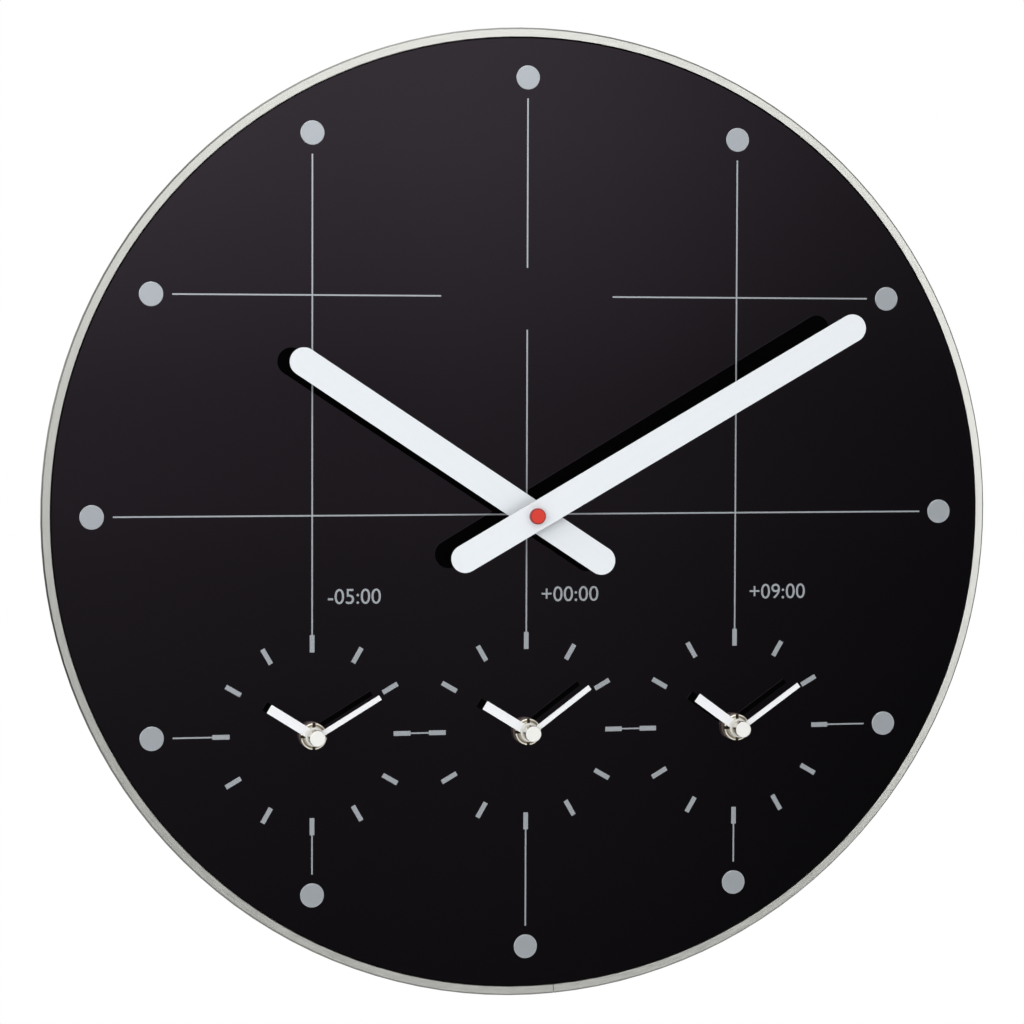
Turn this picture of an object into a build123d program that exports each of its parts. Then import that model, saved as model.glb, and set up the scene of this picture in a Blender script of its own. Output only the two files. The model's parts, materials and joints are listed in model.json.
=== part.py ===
from build123d import *
import os
from math import asin, atan, cos, degrees, pi, radians, sin, tan

# World time wall clock: a flat black glass dial in a slim metal drum, with one large
# quartz movement at the middle and three small city movements below it.
#
# Frame: millimetres, +Z up, +X to the right as seen from the front, +Y towards the wall.
# The model is drawn about the middle of the dial, with the front of the glass at y = 0,
# and is moved at the end so that the origin is the middle of the hole that it hangs by.
# A height is a distance in front of the glass, towards the viewer, along -Y.

# Rim, glass and print
RIM_DIAMETER = 430.0
RIM_FACE = 3.9
RIM_DEPTH = 28.0
RIM_WALL = 1.8
RIM_LEDGE = 6.0
RIM_LEDGE_THICKNESS = 2.0
RIM_RETURN = 6.0
RIM_EDGE_CHAMFER = 0.75
RIM_LAND = 1.5
RIM_TAPER = 3.2
RIM_JOINT_GAP = 0.3
RIM_JOINT_OFFSET = 13.1
SPLICE_LENGTH = 30.0
SPLICE_THICKNESS = 1.2
SPLICE_CLEARANCE = 0.05
GLASS_THICKNESS = 4.0
GLASS_CLEARANCE = 0.3
GLASS_CHAMFER = 0.5
TAPE_THICKNESS = 0.8
TAPE_MARGIN = 1.0
DOT_RING_RADIUS = 193.0
DOT_DIAMETER = 10.6
DOT_THICKNESS = 0.5
DOT_EDGE_RADIUS = 0.2
PRINT_THICKNESS = 0.1
LINE_WIDTH = 0.68
LINE_END_GAP = 9.2
NAME_GAP_HALF_WIDTH = 39.0
NAME_GAP_TOP = 12.6
NAME_GAP_BOTTOM = 14.7
TICK_RING_RADIUS = 40.3
TICK_LENGTH = 7.6
TICK_WIDTH = 2.1

# Clamping of a movement in the glass
BUSH_DIAMETER = 8.0
HOLE_CLEARANCE = 0.3
RUBBER_DIAMETER = 20.0
RUBBER_THICKNESS = 1.0
FIBRE_THICKNESS = 0.5
NUT_DIAMETER = 11.8
NUT_THICKNESS = 4.5
NUT_SLOT_WIDTH = 1.4
NUT_SLOT_DEPTH = 1.1
NUT_EDGE_RADIUS = 0.5
THREAD_CLEARANCE = 0.02
BUSH_PROUD = 0.2
HANGER_THICKNESS = 1.0
HANGER_WIDTH = 18.0
HANGER_HOLE_DIAMETER = 9.0
HANGER_HOLE_MARGIN = 5.5

# Case of a movement
BATTERY_DIAMETER = 14.5
BATTERY_LENGTH = 50.5
BATTERY_NUB_DIAMETER = 5.2
BATTERY_NUB_LENGTH = 1.2
BATTERY_CLEARANCE = 0.25
CONTACT_THICKNESS = 0.4
CONTACT_WIDTH = 9.0
CONTACT_SPRING_ROOM = 1.6
CASE_WALL = 1.5
CASE_DEPTH = 14.0
CASE_RISE = 28.0
CASE_CORNER_RADIUS = 4.0
COVER_THICKNESS = 1.5
COVER_LIP_WIDTH = 1.0
COVER_LIP_DEPTH = 1.2
COVER_LIP_CLEARANCE = 0.15
FINGER_NOTCH_DIAMETER = 18.0
CLIP_WIDTH = 8.0
CLIP_THICKNESS = 1.0
CLIP_LENGTH = 7.0
CLIP_FRAME = 1.5
CLIP_CLEARANCE = 0.1
CATCH_CLEARANCE = 0.2
GUARD_CLEARANCE = 0.8
GUARD_WALL = 1.2
GUARD_HEIGHT = 1.4
PANEL_WIDTH = 18.0
PANEL_HEIGHT = 26.0
PANEL_DEPTH = 0.4
PANEL_CORNER_RADIUS = 2.0

# Motion work of a movement
RUNNING_CLEARANCE = 0.06
PRESS_CLEARANCE = 0.02
END_FLOAT = 0.3
WHEEL_CLEARANCE = 0.9
ADDENDUM = 0.85
DEDENDUM = 1.2
TOOTH_SHARE = 0.82
TOOTH_FLANK_ANGLE = 20.0
CANNON_MODULE = 0.45
CANNON_TEETH = 12
REDUCTION_TEETH = 36
REDUCTION_PINION_TEETH = 10
HOUR_TEETH = 40
WHEEL_THICKNESS = 1.2
PINION_OVERHANG = 0.3
ARBOR_DIAMETER = 3.2
TUBE_DIAMETER = 5.0
PIVOT_DIAMETER = 2.0
PIVOT_LENGTH = 4.0
POST_DIAMETER = 1.8
BOSS_WALL = 1.5
KNOB_SHAFT_DIAMETER = 3.0
KNOB_PIVOT_DIAMETER = 1.6
KNOB_PIVOT_LENGTH = 1.8
KNOB_DIAMETER = 11.0
KNOB_THICKNESS = 2.6
KNOB_FLUTES = 12
KNOB_FLUTE_DIAMETER = 1.6
MODULE_WIDTH = 13.0
MODULE_HEIGHT = 30.0
MODULE_DEPTH = 10.0
MODULE_NOSE_THICKNESS = 2.0
MODULE_NOSE_DIAMETER = 15.0

# Hands
HAND_THICKNESS = 0.8
HAND_WIDTH = 12.4
HAND_CLEARANCE = 0.6
HAND_SPACING = 5.4
HOUR_HAND_SLOPE = 0.02
HOUR_HAND_TIP = 123.2
HOUR_HAND_TAIL = 37.0
HOUR_HAND_ANGLE = 303.2
MINUTE_HAND_SLOPE = 0.04
MINUTE_HAND_TIP = 164.9
MINUTE_HAND_TAIL = 36.8
MINUTE_HAND_ANGLE = 59.8
COLLET_WALL = 2.0
COLLET_DROP = 2.2
COLLET_RISE = 0.6
CAP_DIAMETER = 7.1
CAP_HEIGHT = 2.2
CAP_THREAD_DIAMETER = 2.8
CAP_THREAD_LENGTH = 1.5
CAP_EDGE_RADIUS = 0.5
CITY_HAND_THICKNESS = 0.5
CITY_HOUR_WIDTH = 4.2
CITY_HOUR_LENGTH = 23.7
CITY_COLLET_DIAMETER = 8.4
CITY_COLLET_HEIGHT = 2.0
CITY_MINUTE_WIDTH = 2.3
CITY_MINUTE_LENGTH = 33.2
CITY_CAP_DIAMETER = 7.1
CITY_CAP_HEIGHT = 6.4
CITY_CAP_ROOF = 1.4
CITY_CAP_GAP = 1.1
CITY_PLATE_RISE = 1.6
CITY_HANDS = {
    "left": (302.2, 59.0),
    "middle": (301.7, 53.2),
    "right": (306.1, 54.6),
}

# How far a cutting solid runs past the face that it cuts
OVERCUT = 1.0

# Places that follow from the sizes above
rim_radius = RIM_DIAMETER / 2
joint_angle = 180 - degrees(asin(RIM_JOINT_OFFSET / rim_radius))
rim_opening = rim_radius - RIM_FACE
glass_radius = rim_opening - GLASS_CLEARANCE
ledge_front = GLASS_THICKNESS + TAPE_THICKNESS
ledge_rear = ledge_front + RIM_LEDGE_THICKNESS
ledge_radius = rim_opening - RIM_LEDGE
grid_step = DOT_RING_RADIUS / 2
bush_radius = BUSH_DIAMETER / 2
hole_radius = bush_radius + HOLE_CLEARANCE
nut_top = FIBRE_THICKNESS + NUT_THICKNESS
bush_top = nut_top + BUSH_PROUD

gear_spacing = CANNON_MODULE * (CANNON_TEETH + REDUCTION_TEETH) / 2
hour_module = 2 * gear_spacing / (REDUCTION_PINION_TEETH + HOUR_TEETH)
hour_wheel_tip = hour_module * (HOUR_TEETH / 2 + ADDENDUM)

bay_height = BATTERY_DIAMETER + 2 * BATTERY_CLEARANCE
room_floor = -(hour_wheel_tip + WHEEL_CLEARANCE)
bay_top = room_floor - CASE_WALL
bay_bottom = bay_top - bay_height
case_bottom = bay_bottom - CASE_WALL
bay_length = BATTERY_LENGTH + 2 * CONTACT_THICKNESS + CONTACT_SPRING_ROOM
case_width = bay_length + 2 * CASE_WALL
case_height = CASE_RISE - case_bottom
case_middle = (CASE_RISE + case_bottom) / 2
city_case_front = GLASS_THICKNESS + RUBBER_THICKNESS
main_case_front = city_case_front + HANGER_THICKNESS

hour_wheel_front = CASE_WALL + END_FLOAT
hour_wheel_rear = hour_wheel_front + WHEEL_THICKNESS
wheel_front = hour_wheel_rear + WHEEL_CLEARANCE
wheel_rear = wheel_front + WHEEL_THICKNESS
pinion_front = wheel_front - PINION_OVERHANG
pinion_rear = wheel_rear + PINION_OVERHANG
nose_front = pinion_rear + END_FLOAT
nose_rear = nose_front + MODULE_NOSE_THICKNESS
boss_front = nose_rear + END_FLOAT
cover_rear = CASE_DEPTH + COVER_THICKNESS
cover_middle = (CASE_RISE + bay_top) / 2
clip_front = CASE_DEPTH - CLIP_LENGTH
clip_window = CLIP_WIDTH - 2 * CLIP_FRAME

city_collet_bottom = bush_top + END_FLOAT
city_tube_top = city_collet_bottom + CITY_COLLET_HEIGHT
city_cap_bottom = city_tube_top + CITY_CAP_GAP
city_cap_top = city_cap_bottom + CITY_CAP_HEIGHT
hour_hub_height = (city_cap_top + HAND_CLEARANCE + HAND_THICKNESS / 2
                   - HOUR_HAND_SLOPE * (grid_step - CITY_CAP_DIAMETER / 2))
minute_hub_height = hour_hub_height + HAND_SPACING
cap_bottom = minute_hub_height + COLLET_RISE

hanger_hole_height = CASE_RISE + HANGER_HOLE_MARGIN + HANGER_HOLE_DIAMETER / 2
hanger_front = city_case_front
hanger_rear = hanger_front + HANGER_THICKNESS
TO_FRAME = Pos(0, -(hanger_front + hanger_rear) / 2, -hanger_hole_height)

MOVEMENTS = {
    "main": (0.0, 0.0, main_case_front),
    "left": (-grid_step, -grid_step, city_case_front),
    "middle": (0.0, -grid_step, city_case_front),
    "right": (grid_step, -grid_step, city_case_front),
}


# Drawing helpers: sketches are drawn as seen from the front, x to the right and y up.
def plate(sketch, front, rear):
    """A sketch made solid between two depths, front and rear, along +Y."""
    plane = Plane(origin=(0, rear, 0), x_dir=(1, 0, 0), z_dir=(0, -1, 0))
    return extrude(plane * sketch, amount=rear - front)


def rod(radius, front, rear, x=0.0, z=0.0):
    """A round bar along Y."""
    return plate(Pos(x, z) * Circle(radius), front, rear)


def tube(outer, inner, front, rear, x=0.0, z=0.0):
    """A round tube along Y."""
    return plate(Pos(x, z) * (Circle(outer) - Circle(inner)), front, rear)


def polar(radius, clock_angle):
    """Sketch place at a radius and a clock angle, clockwise from 12."""
    turn = radians(clock_angle)
    return radius * sin(turn), radius * cos(turn)


def front_edges(solid, front):
    """The edges of a solid that lie wholly in its front face."""
    return solid.edges().filter_by_position(Axis.Y, front, front)


# Toothed wheels
def gear_sketch(module, teeth, tooth_angle):
    """Flat-sided teeth round a wheel, one of them at the given clock angle."""
    pitch_radius = module * teeth / 2
    tip_radius = pitch_radius + ADDENDUM * module
    root_radius = pitch_radius - DEDENDUM * module
    pitch_half = TOOTH_SHARE * pi * module / 4
    slant = tan(radians(TOOTH_FLANK_ANGLE))
    tip_half = pitch_half - ADDENDUM * module * slant
    root_half = pitch_half * root_radius / pitch_radius
    points = []
    for tooth in range(teeth):
        middle = tooth_angle + tooth * 360 / teeth
        for radius, half, side in (
            (root_radius, root_half, -1),
            (pitch_radius, pitch_half, -1),
            (tip_radius, tip_half, -1),
            (tip_radius, tip_half, 1),
            (pitch_radius, pitch_half, 1),
            (root_radius, root_half, 1),
        ):
            points.append(polar(radius, middle + side * degrees(half / radius)))
    return make_face(Polyline(*points, close=True))


def gear(module, teeth, tooth_angle, front, rear, x=0.0, z=0.0):
    """A toothed wheel along Y."""
    return plate(Pos(x, z) * gear_sketch(module, teeth, tooth_angle), front, rear)


# Rim, glass and print
def rim_outside(depth):
    """Outer radius of the rim behind its land, where it narrows to the wall."""
    return rim_radius - RIM_TAPER * (depth - RIM_LAND) / (RIM_DEPTH - RIM_LAND)


def rim_inside(depth):
    """Inner radius of the rim's wall."""
    return rim_outside(depth) - RIM_WALL


def rim_ring():
    """Rolled metal ring: front band, ledge for the glass, tapered wall and return flange, butted below."""
    rear_inner = RIM_DEPTH - RIM_WALL
    return_radius = rim_outside(RIM_DEPTH) - RIM_RETURN
    profile = make_face(Polyline(
        (rim_opening, 0), (rim_radius, 0), (rim_radius, RIM_LAND), (rim_outside(RIM_DEPTH), RIM_DEPTH),
        (return_radius, RIM_DEPTH), (return_radius, rear_inner), (rim_inside(rear_inner), rear_inner),
        (rim_inside(ledge_rear), ledge_rear), (ledge_radius, ledge_rear), (ledge_radius, ledge_front),
        (rim_opening, ledge_front), close=True))
    band_corner = profile.vertices().group_by(Axis.Y)[0].sort_by(Axis.X)[-1]
    ring = revolve(chamfer(band_corner, RIM_EDGE_CHAMFER), Axis.Y)
    slit = Pos(0, rim_radius) * Rectangle(RIM_JOINT_GAP, rim_radius / 2)
    slit = plate(slit, -OVERCUT, RIM_DEPTH + OVERCUT)
    # a quarter turn brings the start of the revolved ring into the slit
    return Rot(0, joint_angle, 0) * (Rot(0, -90, 0) * ring - slit)


def rim_splice():
    """Curved plate behind the butt joint of the ring."""
    front = ledge_rear + SPLICE_CLEARANCE
    rear = RIM_DEPTH - RIM_WALL - SPLICE_CLEARANCE
    outer_front = rim_inside(front) - SPLICE_CLEARANCE
    outer_rear = rim_inside(rear) - SPLICE_CLEARANCE
    section = make_face(Polyline(
        (outer_front - SPLICE_THICKNESS, front), (outer_front, front), (outer_rear, rear),
        (outer_rear - SPLICE_THICKNESS, rear), close=True))
    window = plate(Pos(0, rim_radius) * Rectangle(SPLICE_LENGTH, rim_radius), front, rear)
    return Rot(0, joint_angle, 0) * (revolve(section, Axis.Y) & window)


def dial_glass():
    """Flat glass with its edge eased and a hole for each movement."""
    glass = rod(glass_radius, 0, GLASS_THICKNESS)
    glass = chamfer(front_edges(glass, 0), GLASS_CHAMFER)
    for x, z, _ in MOVEMENTS.values():
        glass -= rod(hole_radius, -OVERCUT, GLASS_THICKNESS + OVERCUT, x, z)
    return glass


def glass_tape():
    """Ring of tape that holds the glass on its ledge."""
    return tube(glass_radius - TAPE_MARGIN, ledge_radius + TAPE_MARGIN, GLASS_THICKNESS, ledge_front)


def hour_dots():
    """Twelve applied discs."""
    disc = rod(DOT_DIAMETER / 2, -DOT_THICKNESS, 0)
    disc = fillet(front_edges(disc, -DOT_THICKNESS), DOT_EDGE_RADIUS)
    dots = []
    for hour in range(12):
        x, z = polar(DOT_RING_RADIUS, 30 * hour)
        dots.append(Pos(x, 0, z) * disc)
    return Compound(dots)


def upright(x, low, high):
    """A printed line along Z."""
    return Pos(x, (low + high) / 2) * Rectangle(LINE_WIDTH, high - low)


def level(z, left, right):
    """A printed line along X."""
    return Pos((left + right) / 2, z) * Rectangle(right - left, LINE_WIDTH)


def grid_lines():
    """Fine lines that join the dots, broken for the city dials and for a bare name place."""
    side_end = DOT_RING_RADIUS * cos(radians(30)) - LINE_END_GAP
    centre_end = DOT_RING_RADIUS - LINE_END_GAP
    ring_reach = TICK_RING_RADIUS + TICK_LENGTH / 2
    city_top = ring_reach - grid_step
    city_bottom = -ring_reach - grid_step
    lines = Sketch()
    for x in (-grid_step, grid_step):
        lines += upright(x, city_top, side_end)
        lines += upright(x, -side_end, city_bottom)
    lines += upright(0, grid_step + NAME_GAP_TOP, centre_end)
    lines += upright(0, city_top, grid_step - NAME_GAP_BOTTOM)
    lines += upright(0, -centre_end, city_bottom)
    lines += level(0, -centre_end, centre_end)
    for side in (-1, 1):
        outer = sorted((side * NAME_GAP_HALF_WIDTH, side * side_end))
        lines += level(grid_step, *outer)
        lower = sorted((side * (grid_step + ring_reach), side * side_end))
        lines += level(-grid_step, *lower)
        between = sorted((side * ring_reach, side * (grid_step - ring_reach)))
        lines += level(-grid_step, *between)
    lines -= Circle(NUT_DIAMETER / 2 + HOLE_CLEARANCE)
    return plate(lines, -PRINT_THICKNESS, 0)


def city_ticks():
    """Twelve printed ticks round each city movement."""
    ticks = Sketch()
    for name in CITY_HANDS:
        x, z, _ = MOVEMENTS[name]
        for hour in range(12):
            dx, dz = polar(TICK_RING_RADIUS, 30 * hour)
            ticks += Pos(x + dx, z + dz) * Rot(0, 0, -30 * hour) * Rectangle(TICK_WIDTH, TICK_LENGTH)
    return plate(ticks, -PRINT_THICKNESS, 0)


# Clamping pieces, each drawn on the axis of its movement
def rubber_washer():
    """Soft washer behind the glass."""
    return tube(RUBBER_DIAMETER / 2, hole_radius, GLASS_THICKNESS, GLASS_THICKNESS + RUBBER_THICKNESS)


def fibre_washer():
    """Thin washer between the glass and the nut."""
    return tube(NUT_DIAMETER / 2, hole_radius, -FIBRE_THICKNESS, 0)


def clamp_nut():
    """Round nut with a cross slot for a spanner."""
    nut = rod(NUT_DIAMETER / 2, -nut_top, -FIBRE_THICKNESS)
    nut = fillet(front_edges(nut, -nut_top), NUT_EDGE_RADIUS)
    nut -= rod(bush_radius + THREAD_CLEARANCE, -nut_top - OVERCUT, 0)
    slot = Rectangle(NUT_SLOT_WIDTH, NUT_DIAMETER) + Rectangle(NUT_DIAMETER, NUT_SLOT_WIDTH)
    return nut - plate(slot, -nut_top - OVERCUT, -nut_top + NUT_SLOT_DEPTH)


def main_hanger():
    """Steel plate held round the bush, with the hole that the clock hangs by."""
    strip = Rot(0, 0, 90) * SlotCenterToCenter(hanger_hole_height, HANGER_WIDTH)
    strip = Pos(0, hanger_hole_height / 2) * strip
    strip -= Circle(hole_radius)
    strip -= Pos(0, hanger_hole_height) * Circle(HANGER_HOLE_DIAMETER / 2)
    return plate(strip, hanger_front, hanger_rear)


# Case, cover, battery and contacts, drawn with the shaft at x = z = 0 and the case front at y = 0
def case_outline():
    """Outline of the case, round the shaft."""
    return Pos(0, case_middle) * RectangleRounded(case_width, case_height, CASE_CORNER_RADIUS)


def room_outline(inset):
    """Outline of the room for the wheels, drawn in by an inset."""
    width = bay_length - 2 * inset
    low = room_floor + inset
    high = CASE_RISE - CASE_WALL - inset
    radius = CASE_CORNER_RADIUS - CASE_WALL
    return Pos(0, (low + high) / 2) * RectangleRounded(width, high - low, radius)


def knob_place():
    """Place of the setting shaft, straight above the reduction wheel."""
    return gear_spacing, gear_spacing


def side_block(side, inner, outer, width, front, rear):
    """A block on one side of the case, between two distances from the shaft."""
    outline = Pos(side * (inner + outer) / 2, cover_middle) * Rectangle(outer - inner, width)
    return plate(outline, front, rear)


def movement_case(bush_length):
    """Moulded case with its bush, wheel post, knob bearing, side catches and open battery bay."""
    case = plate(case_outline(), 0, CASE_DEPTH)
    case -= plate(room_outline(0), CASE_WALL, CASE_DEPTH + OVERCUT)
    bay = Pos(0, (bay_top + bay_bottom) / 2) * Rectangle(bay_length, bay_height)
    case -= plate(bay, CASE_WALL, CASE_DEPTH + OVERCUT)
    case -= rod(FINGER_NOTCH_DIAMETER / 2, CASE_DEPTH / 2, CASE_DEPTH + OVERCUT, 0, case_bottom)
    case += rod(bush_radius, -bush_length, 0)
    case -= rod(TUBE_DIAMETER / 2 + RUNNING_CLEARANCE, -bush_length - OVERCUT, CASE_WALL + OVERCUT)
    case += rod(POST_DIAMETER / 2, CASE_WALL, boss_front - END_FLOAT, gear_spacing, 0)
    x, z = knob_place()
    bearing = KNOB_PIVOT_DIAMETER / 2 + RUNNING_CLEARANCE
    case += tube(bearing + BOSS_WALL, bearing, CASE_WALL, pinion_front - END_FLOAT, x, z)
    half = case_width / 2
    for side in (-1, 1):
        case += side_block(side, half - CASE_WALL, half + CLIP_CLEARANCE + CLIP_THICKNESS / 2,
                           clip_window - 2 * CATCH_CLEARANCE, clip_front + CLIP_FRAME + CATCH_CLEARANCE,
                           CASE_DEPTH - CLIP_FRAME - CATCH_CLEARANCE)
    return case


def movement_cover():
    """Rear cover with its lip, bosses over the arbor and the wheel post, side clips and knob guard."""
    half_plane = Pos(0, bay_top + case_height / 2) * Rectangle(2 * case_width, case_height)
    cover = plate(case_outline() & half_plane, CASE_DEPTH, cover_rear)
    lip = room_outline(COVER_LIP_CLEARANCE) - room_outline(COVER_LIP_CLEARANCE + COVER_LIP_WIDTH)
    cover += plate(lip, CASE_DEPTH - COVER_LIP_DEPTH, CASE_DEPTH)
    bearing = PIVOT_DIAMETER / 2 + RUNNING_CLEARANCE
    cover += tube(bearing + BOSS_WALL, bearing, boss_front, CASE_DEPTH)
    cover += rod(POST_DIAMETER / 2 + BOSS_WALL, boss_front, CASE_DEPTH, gear_spacing, 0)
    half = case_width / 2
    for side in (-1, 1):
        outer = half + CLIP_CLEARANCE + CLIP_THICKNESS
        cover += side_block(side, half - CASE_WALL, outer, CLIP_WIDTH, CASE_DEPTH, cover_rear)
        cover += side_block(side, half + CLIP_CLEARANCE, outer, CLIP_WIDTH, clip_front, CASE_DEPTH)
        cover -= side_block(side, half + CLIP_CLEARANCE, outer + OVERCUT, clip_window,
                            clip_front + CLIP_FRAME, CASE_DEPTH - CLIP_FRAME)
    panel = RectangleRounded(PANEL_WIDTH, PANEL_HEIGHT, PANEL_CORNER_RADIUS)
    panel = Pos(-case_width / 4, cover_middle) * panel
    cover -= plate(panel, cover_rear - PANEL_DEPTH, cover_rear + OVERCUT)
    x, z = knob_place()
    guard = KNOB_DIAMETER / 2 + GUARD_CLEARANCE
    cover += tube(guard + GUARD_WALL, guard, cover_rear, cover_rear + GUARD_HEIGHT, x, z)
    return cover - rod(KNOB_SHAFT_DIAMETER / 2 + RUNNING_CLEARANCE, 0, cover_rear + OVERCUT, x, z)


def drive_module():
    """Sealed block with the motor and its first wheels, and a round nose over the arbor."""
    left = -bay_length / 2 + COVER_LIP_WIDTH + 2 * COVER_LIP_CLEARANCE
    low = room_floor + COVER_LIP_WIDTH + 2 * COVER_LIP_CLEARANCE
    block = Rectangle(MODULE_WIDTH, MODULE_HEIGHT, align=(Align.MIN, Align.MIN))
    module = plate(Pos(left, low) * block, CASE_WALL, CASE_WALL + MODULE_DEPTH)
    arm = Circle(MODULE_NOSE_DIAMETER / 2)
    arm += Pos(left / 2, 0) * Rectangle(-left, MODULE_NOSE_DIAMETER / 2)
    module += plate(arm, nose_front, nose_rear)
    return module - rod(PIVOT_DIAMETER / 2 + END_FLOAT, 0, CASE_DEPTH)


def battery():
    """Cylindrical cell in the bay, its nub to the right."""
    body_left = -bay_length / 2 + CONTACT_THICKNESS + CONTACT_SPRING_ROOM
    body_length = BATTERY_LENGTH - BATTERY_NUB_LENGTH
    y = CASE_WALL + BATTERY_CLEARANCE + BATTERY_DIAMETER / 2
    z = (bay_top + bay_bottom) / 2
    axis = Plane(origin=(body_left, y, z), x_dir=(0, 1, 0), z_dir=(1, 0, 0))
    cell = extrude(axis * Circle(BATTERY_DIAMETER / 2), amount=body_length)
    return cell + extrude(axis * Circle(BATTERY_NUB_DIAMETER / 2), amount=BATTERY_LENGTH)


def contacts():
    """Flat plate at the nub end and a bowed spring strip at the other end of the cell."""
    right = bay_length / 2
    y_low = CASE_WALL
    y_high = CASE_DEPTH
    z = (bay_top + bay_bottom) / 2
    flat = Pos(right - CONTACT_THICKNESS / 2, (y_low + y_high) / 2, z) * Box(
        CONTACT_THICKNESS, y_high - y_low, CONTACT_WIDTH)
    crest = CONTACT_SPRING_ROOM - PRESS_CLEARANCE
    y_mid = (y_low + y_high) / 2
    strip = make_face(Polyline(
        (-right, y_low), (-right + CONTACT_THICKNESS, y_low), (-right + CONTACT_THICKNESS + crest, y_mid),
        (-right + CONTACT_THICKNESS, y_high), (-right, y_high), (-right + crest, y_mid), close=True))
    spring = Pos(0, 0, z - CONTACT_WIDTH / 2) * extrude(strip, amount=CONTACT_WIDTH)
    return [flat, spring]


# Wheels, drawn in the same place as the case
def hour_wheel(tube_front):
    """Hour wheel with the long tube that carries the hour hand."""
    wheel = gear(hour_module, HOUR_TEETH, 90 + 180 / HOUR_TEETH, hour_wheel_front, hour_wheel_rear)
    wheel += rod(TUBE_DIAMETER / 2, -tube_front, hour_wheel_front)
    bore = ARBOR_DIAMETER / 2 + RUNNING_CLEARANCE
    return wheel - rod(bore, -tube_front - OVERCUT, hour_wheel_rear + OVERCUT)


def reduction_wheel():
    """Wheel and pinion on the post, between the arbor and the hour wheel."""
    half_gap = 180 / REDUCTION_TEETH
    wheel = gear(CANNON_MODULE, REDUCTION_TEETH, half_gap, wheel_front, wheel_rear)
    wheel += gear(hour_module, REDUCTION_PINION_TEETH, 270, hour_wheel_front, wheel_front)
    wheel -= rod(POST_DIAMETER / 2 + RUNNING_CLEARANCE, 0, CASE_DEPTH)
    return Pos(gear_spacing, 0, 0) * wheel


def minute_arbor(arbor_front, thread_front):
    """Arbor with its cannon pinion, its rear pivot and, on the long one, a threaded end."""
    arbor = gear(CANNON_MODULE, CANNON_TEETH, 90, pinion_front, pinion_rear)
    arbor += rod(ARBOR_DIAMETER / 2, -arbor_front, pinion_front)
    arbor += rod(PIVOT_DIAMETER / 2, pinion_rear, boss_front + PIVOT_LENGTH)
    if thread_front > arbor_front:
        arbor += rod(CAP_THREAD_DIAMETER / 2, -thread_front, -arbor_front)
    return arbor


def setting_knob():
    """Fluted knob behind the cover, on a shaft with the pinion that turns the hands."""
    knob_front = cover_rear + END_FLOAT
    knob = Circle(KNOB_DIAMETER / 2)
    for flute in range(KNOB_FLUTES):
        knob -= Pos(*polar(KNOB_DIAMETER / 2, flute * 360 / KNOB_FLUTES)) * Circle(KNOB_FLUTE_DIAMETER / 2)
    piece = plate(knob, knob_front, knob_front + KNOB_THICKNESS)
    piece += rod(KNOB_SHAFT_DIAMETER / 2, pinion_rear, knob_front)
    piece += gear(CANNON_MODULE, CANNON_TEETH, 180, pinion_front, pinion_rear)
    piece += rod(KNOB_PIVOT_DIAMETER / 2, pinion_front - KNOB_PIVOT_LENGTH, pinion_front)
    x, z = knob_place()
    return Pos(x, 0, z) * piece


# Hands, drawn on the axis of their movement in dial depths, pointing to 12
def main_hand(tip, tail, slope, hub_height, seat_diameter):
    """Round-ended bar that leans forward to its tip, with a collet at the hub."""
    outline = Pos(0, (tip - tail) / 2) * Rot(0, 0, 90) * SlotCenterToCenter(tip + tail, HAND_WIDTH)
    blade = plate(outline, -HAND_THICKNESS / 2, HAND_THICKNESS / 2)
    blade = Pos(0, -hub_height, 0) * Rot(degrees(atan(slope)), 0, 0) * blade
    seat = seat_diameter / 2 + PRESS_CLEARANCE
    top = hub_height + COLLET_RISE
    hand = blade + rod(seat + COLLET_WALL, -top, -(hub_height - COLLET_DROP))
    return hand - rod(seat, -top - OVERCUT, 0)


def main_hand_cap():
    """Round closed nut that holds the minute hand."""
    top = cap_bottom + CAP_HEIGHT
    cap = rod(CAP_DIAMETER / 2, -top, -cap_bottom)
    cap = fillet(front_edges(cap, -top), CAP_EDGE_RADIUS)
    thread_top = cap_bottom + CAP_THREAD_LENGTH + THREAD_CLEARANCE
    return cap - rod(CAP_THREAD_DIAMETER / 2 + THREAD_CLEARANCE, -thread_top, 0)


def city_hour_hand():
    """Square-ended bar on a collet."""
    top = city_tube_top
    bar = Pos(0, CITY_HOUR_LENGTH / 2) * Rectangle(CITY_HOUR_WIDTH, CITY_HOUR_LENGTH)
    bar_rear = city_collet_bottom + (CITY_COLLET_HEIGHT - CITY_HAND_THICKNESS) / 2
    hand = plate(bar, -(bar_rear + CITY_HAND_THICKNESS), -bar_rear)
    hand += rod(CITY_COLLET_DIAMETER / 2, -top, -city_collet_bottom)
    return hand - rod(TUBE_DIAMETER / 2 + PRESS_CLEARANCE, -top - OVERCUT, 0)


def city_minute_hand():
    """Narrow bar that runs into a tall closed cap."""
    bar = Pos(0, CITY_MINUTE_LENGTH / 2) * Rectangle(CITY_MINUTE_WIDTH, CITY_MINUTE_LENGTH)
    bar_rear = city_cap_bottom + CITY_PLATE_RISE
    cap = rod(CITY_CAP_DIAMETER / 2, -city_cap_top, -city_cap_bottom)
    cap = fillet(front_edges(cap, -city_cap_top), CAP_EDGE_RADIUS)
    hand = cap + plate(bar, -(bar_rear + CITY_HAND_THICKNESS), -bar_rear)
    seat_top = city_cap_top - CITY_CAP_ROOF
    return hand - rod(ARBOR_DIAMETER / 2 + PRESS_CLEARANCE, -seat_top, 0)


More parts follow.
